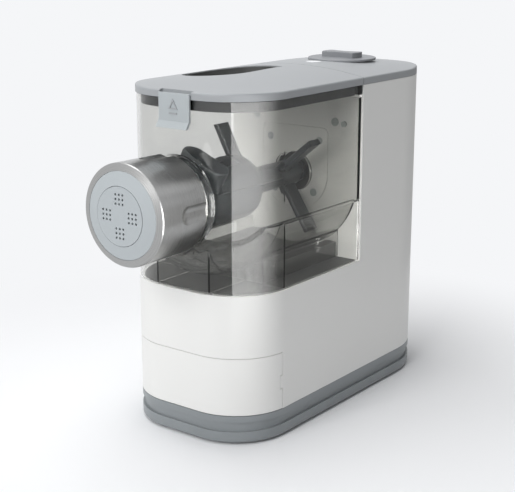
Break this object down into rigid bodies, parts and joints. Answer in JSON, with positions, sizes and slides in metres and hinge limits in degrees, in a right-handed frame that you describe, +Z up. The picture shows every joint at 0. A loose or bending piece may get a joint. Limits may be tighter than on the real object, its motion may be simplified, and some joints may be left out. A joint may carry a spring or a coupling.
{
  "type": "electric pasta maker",
  "caption": "Countertop electric pasta maker: tall white motor tower, clear mixing chamber with a paddle, round metal outlet nut with a shaping disc, lid, knob and drawer.",
  "frame": {"origin": "bottom centre of the whole machine's box, on the table", "axes": "+Z up, the outlet faces -Y, +X to the right as seen from the front"},
  "size_m": [0.135, 0.353, 0.287],
  "materials": {
    "white_housing": "satin moulded",
    "grey_cover": "satin moulded",
    "grey_base": "satin moulded",
    "grey_blue": "fine satin",
    "dark_grey": "satin moulded",
    "clear_grey": "clear moulded",
    "dark_seal": "matte",
    "nut_metal": "brushed",
    "bright_steel": "turned",
    "motor_steel": "zinc plated",
    "iron": "varnished laminations",
    "bronze": "sintered",
    "gear_plastic": "natural nylon",
    "board_green": "solder resist",
    "black_plastic": "moulded",
    "lens_white": "milky lens"
  },
  "bodies": {
    "base": {"base_pan": "grey_base", "base_screws": "bright_steel", "board_components": "black_plastic", "board_rails": "white_housing", "carbon_brushes": "black_plastic", "case_screws": "bright_steel", "control_board": "board_green", "cord_gland": "dark_seal", "drawer_bay": "grey_base", "drive_plate": "white_housing", "field_magnets": "iron", "gearbox_case": "dark_grey", "gearbox_cover": "dark_grey", "indicator_lens": "lens_white", "interlock_switch": "black_plastic", "layshaft": "bright_steel", "main_housing": "white_housing", "mode_switch": "black_plastic", "motor_can": "motor_steel", "motor_cradle": "dark_grey", "motor_flange": "motor_steel", "motor_rear_plate": "motor_steel", "plate_screws": "grey_blue", "rear_cover": "grey_cover", "rubber_feet": "dark_seal", "shaft_bushes": "bronze", "shaft_seal": "dark_seal", "shelf_plate": "dark_grey", "switch_bush": "black_plastic", "wall_plugs": "grey_blue"},
    "chamber": {"mixing_chamber": "clear_grey", "extrusion_tube": "dark_grey", "tube_seal": "dark_seal", "lid_hooks": "dark_grey"},
    "outlet_disc": {"shaping_disc": "grey_blue", "end_plate": "grey_blue"},
    "outlet_nut": {"ring_nut": "nut_metal"},
    "lid": {"lid": "grey_cover", "lid_seal": "dark_seal", "water_funnel": "dark_grey", "latch_pin": "bright_steel"},
    "latch": {"lid_latch": "grey_blue"},
    "paddle": {"mixing_paddle": "dark_grey", "extrusion_screw": "dark_grey"},
    "drive": {"output_gear": "gear_plastic", "drive_shaft": "bright_steel", "drive_coupling": "dark_grey"},
    "reduction": {"reduction_gear": "gear_plastic"},
    "rotor": {"armature": "iron", "commutator": "bronze", "cooling_fan": "black_plastic", "motor_shaft": "bright_steel", "motor_pinion": "bronze"},
    "knob": {"control_knob": "grey_cover", "knob_shaft": "bright_steel"},
    "drawer": {"drawer_front": "white_housing", "drawer_tray": "grey_blue", "spare_discs": "grey_blue"},
    "plunger": {"interlock_plunger": "grey_blue"}
  },
  "joints": [
    {"name": "chamber_slide", "type": "slide", "parent": "base", "child": "chamber", "axis": [0, -1, 0], "range_m": [0, 0.16]},
    {"name": "nut_travel", "type": "slide", "parent": "chamber", "child": "outlet_disc", "axis": [0, -1, 0], "range_m": [0, 0.0061]},
    {"name": "nut_turn", "type": "hinge", "parent": "outlet_disc", "child": "outlet_nut", "pos_m": [0, -0.15, 0.1908], "axis": [0, -1, 0], "range_deg": [0, 180]},
    {"name": "lid_tilt", "type": "hinge", "parent": "chamber", "child": "lid", "pos_m": [0, 0.04, 0.2825], "axis": [-1, 0, 0], "range_deg": [0, 95]},
    {"name": "latch_flip", "type": "hinge", "parent": "lid", "child": "latch", "pos_m": [0, -0.1132, 0.271], "axis": [-1, 0, 0], "range_deg": [0, 40]},
    {"name": "drive_spin", "type": "hinge", "parent": "base", "child": "drive", "pos_m": [0, 0.05, 0.1908], "axis": [0, 1, 0], "continuous": true},
    {"name": "paddle_spin", "type": "hinge", "parent": "chamber", "child": "paddle", "pos_m": [0, 0, 0.1908], "axis": [0, 1, 0], "continuous": true},
    {"name": "reduction_spin", "type": "hinge", "parent": "base", "child": "reduction", "pos_m": [0, 0.07, 0.15002], "axis": [0, 1, 0], "continuous": true},
    {"name": "rotor_spin", "type": "hinge", "parent": "base", "child": "rotor", "pos_m": [0, 0.11, 0.11587], "axis": [0, 1, 0], "continuous": true},
    {"name": "knob_turn", "type": "hinge", "parent": "base", "child": "knob", "pos_m": [0, 0.11, 0.28], "axis": [0, 0, 1], "range_deg": [-60, 60]},
    {"name": "drawer_slide", "type": "slide", "parent": "base", "child": "drawer", "axis": [0, -1, 0], "range_m": [0, 0.11]},
    {"name": "plunger_press", "type": "slide", "parent": "base", "child": "plunger", "axis": [0, 1, 0], "range_m": [0, 0.002], "stiffness_N_per_m": 200}
  ],
  "couplings": [
    {"joint": "nut_travel", "follows": "nut_turn", "m_per_rad": 0.0019099},
    {"joint": "paddle_spin", "follows": "drive_spin", "ratio": 1},
    {"joint": "reduction_spin", "follows": "drive_spin", "ratio": -4},
    {"joint": "rotor_spin", "follows": "drive_spin", "ratio": 18.667}
  ]
}
